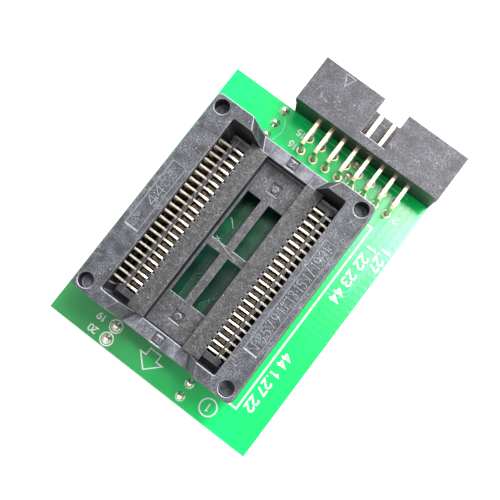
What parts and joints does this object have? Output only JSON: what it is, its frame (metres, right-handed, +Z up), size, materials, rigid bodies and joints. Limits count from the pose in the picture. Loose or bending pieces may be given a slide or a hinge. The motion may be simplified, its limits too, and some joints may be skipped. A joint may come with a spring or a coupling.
{
  "type": "programming socket adapter",
  "caption": "Plug-in adapter board with an open-top push-down socket for a flat two-row chip and a boxed right-angle header at one end.",
  "frame": {"origin": "middle of the field of plug pins, on the plane where their strips sit on the socket below", "axes": "+Z up out of the board, +Y along the plug rows towards the boxed header, +X across the rows to the right of someone who looks along +Y"},
  "size_m": [0.04, 0.0589, 0.0231],
  "materials": {
    "board": "green lacquer over glass fibre laminate",
    "strip": "black moulded plastic",
    "plug_pin": "gold-plated square wire",
    "base_plastic": "spark-eroded black moulded plastic",
    "cover_plastic": "satin black moulded plastic",
    "contact": "stamped copper alloy with thin pale gold plating",
    "comb_plastic": "black moulded plastic",
    "spring_steel": "drawn spring wire",
    "shroud_plastic": "black moulded plastic with a mottled sheen",
    "header_pin": "gold-plated square wire"
  },
  "bodies": {
    "base": {"board": "board", "plug_strip_left": "strip", "plug_strip_right": "strip", "plug_pins_left": "plug_pin", "plug_pins_right": "plug_pin", "socket_base": "base_plastic", "contact_springs_left": "contact", "contact_springs_right": "contact", "contact_comb_left": "comb_plastic", "contact_comb_right": "comb_plastic", "return_spring_1": "spring_steel", "return_spring_2": "spring_steel", "return_spring_3": "spring_steel", "return_spring_4": "spring_steel", "header_shroud": "shroud_plastic", "header_pins_lower": "header_pin", "header_pins_upper": "header_pin"},
    "cover": {"socket_cover": "cover_plastic"},
    "left_jaws": {"contact_jaws_left": "contact"},
    "right_jaws": {"contact_jaws_right": "contact"}
  },
  "joints": [
    {"name": "cover_press", "type": "slide", "parent": "base", "child": "cover", "axis": [0, 0, -1], "range_m": [0, 0.0026], "stiffness_N_per_m": 2400, "springref_m": -0.0015, "deforming": ["return_spring_1", "return_spring_2", "return_spring_3", "return_spring_4"]},
    {"name": "left_jaws_open", "type": "hinge", "parent": "base", "child": "left_jaws", "pos_m": [-0.0091, -0.00138, 0.01104], "axis": [0, -1, 0], "range_deg": [0, 28], "deforming": ["contact_springs_left"]},
    {"name": "right_jaws_open", "type": "hinge", "parent": "base", "child": "right_jaws", "pos_m": [0.0091, -0.00138, 0.01104], "axis": [0, 1, 0], "range_deg": [0, 28], "deforming": ["contact_springs_right"]}
  ],
  "couplings": [
    {"joint": "left_jaws_open", "follows": "cover_press", "rad_per_m": 187.95},
    {"joint": "right_jaws_open", "follows": "cover_press", "rad_per_m": 187.95}
  ]
}
